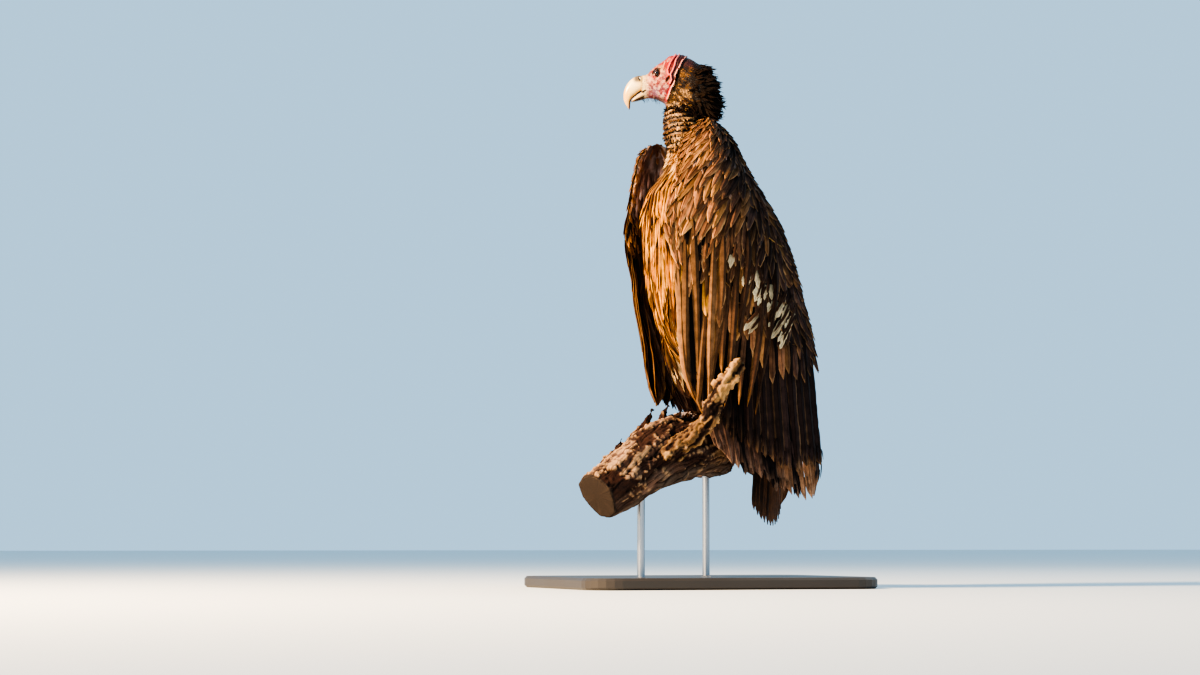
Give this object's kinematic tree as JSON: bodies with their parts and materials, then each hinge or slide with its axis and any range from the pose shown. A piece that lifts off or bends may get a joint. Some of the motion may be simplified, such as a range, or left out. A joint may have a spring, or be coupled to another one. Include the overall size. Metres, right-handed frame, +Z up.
{
  "type": "lappet-faced vulture",
  "caption": "Life-size perched vulture with drooped wings and turned head, gripping a short cut length of dead branch on a flat display base with rods.",
  "frame": {"origin": "centre of the stand base's underside, which is the centre of the bottom of the bounding box", "axes": "+Z up; the bird's breast faces -X, its left side faces -Y and its right side +Y"},
  "size_m": [0.64, 0.5, 1.1175],
  "materials": {
    "breast_feather": "golden cream lance-shaped breast feathers, matte",
    "down": "brown down, matte",
    "bare_skin": "bare folded skin, pink and red",
    "bill_horn": "pale yellowish horn, satin",
    "eyeball": "near-black wet eye",
    "wing_feather": "warm brown feathers with pale edges, matte",
    "flight_feather": "blackish brown flight feathers, low sheen",
    "leg_scale": "grey scaled skin",
    "claw_horn": "dark horn, satin",
    "dead_wood": "weathered bare dead wood",
    "stand_steel": "brushed",
    "stand_paint": "satin dark paint"
  },
  "bodies": {
    "root": {"trunk": "breast_feather", "neck": "down", "head": "bare_skin", "bill_upper": "bill_horn", "bill_lower": "bill_horn", "eye_left": "eyeball", "eye_right": "eyeball", "wing_left_coverts": "wing_feather", "wing_left_secondaries": "wing_feather", "wing_left_primaries": "flight_feather", "wing_right_coverts": "wing_feather", "wing_right_secondaries": "wing_feather", "wing_right_primaries": "flight_feather", "tail": "flight_feather", "thigh_left": "down", "thigh_right": "down", "shank_left": "leg_scale", "shank_right": "leg_scale", "foot_left": "leg_scale", "foot_right": "leg_scale", "claw_left_1": "claw_horn", "claw_left_2": "claw_horn", "claw_left_3": "claw_horn", "claw_left_4": "claw_horn", "claw_right_1": "claw_horn", "claw_right_2": "claw_horn", "claw_right_3": "claw_horn", "claw_right_4": "claw_horn", "perch": "dead_wood", "perch_snag": "dead_wood", "stand_rod_1": "stand_steel", "stand_rod_2": "stand_steel", "stand_base": "stand_paint"}
  },
  "joints": []
}
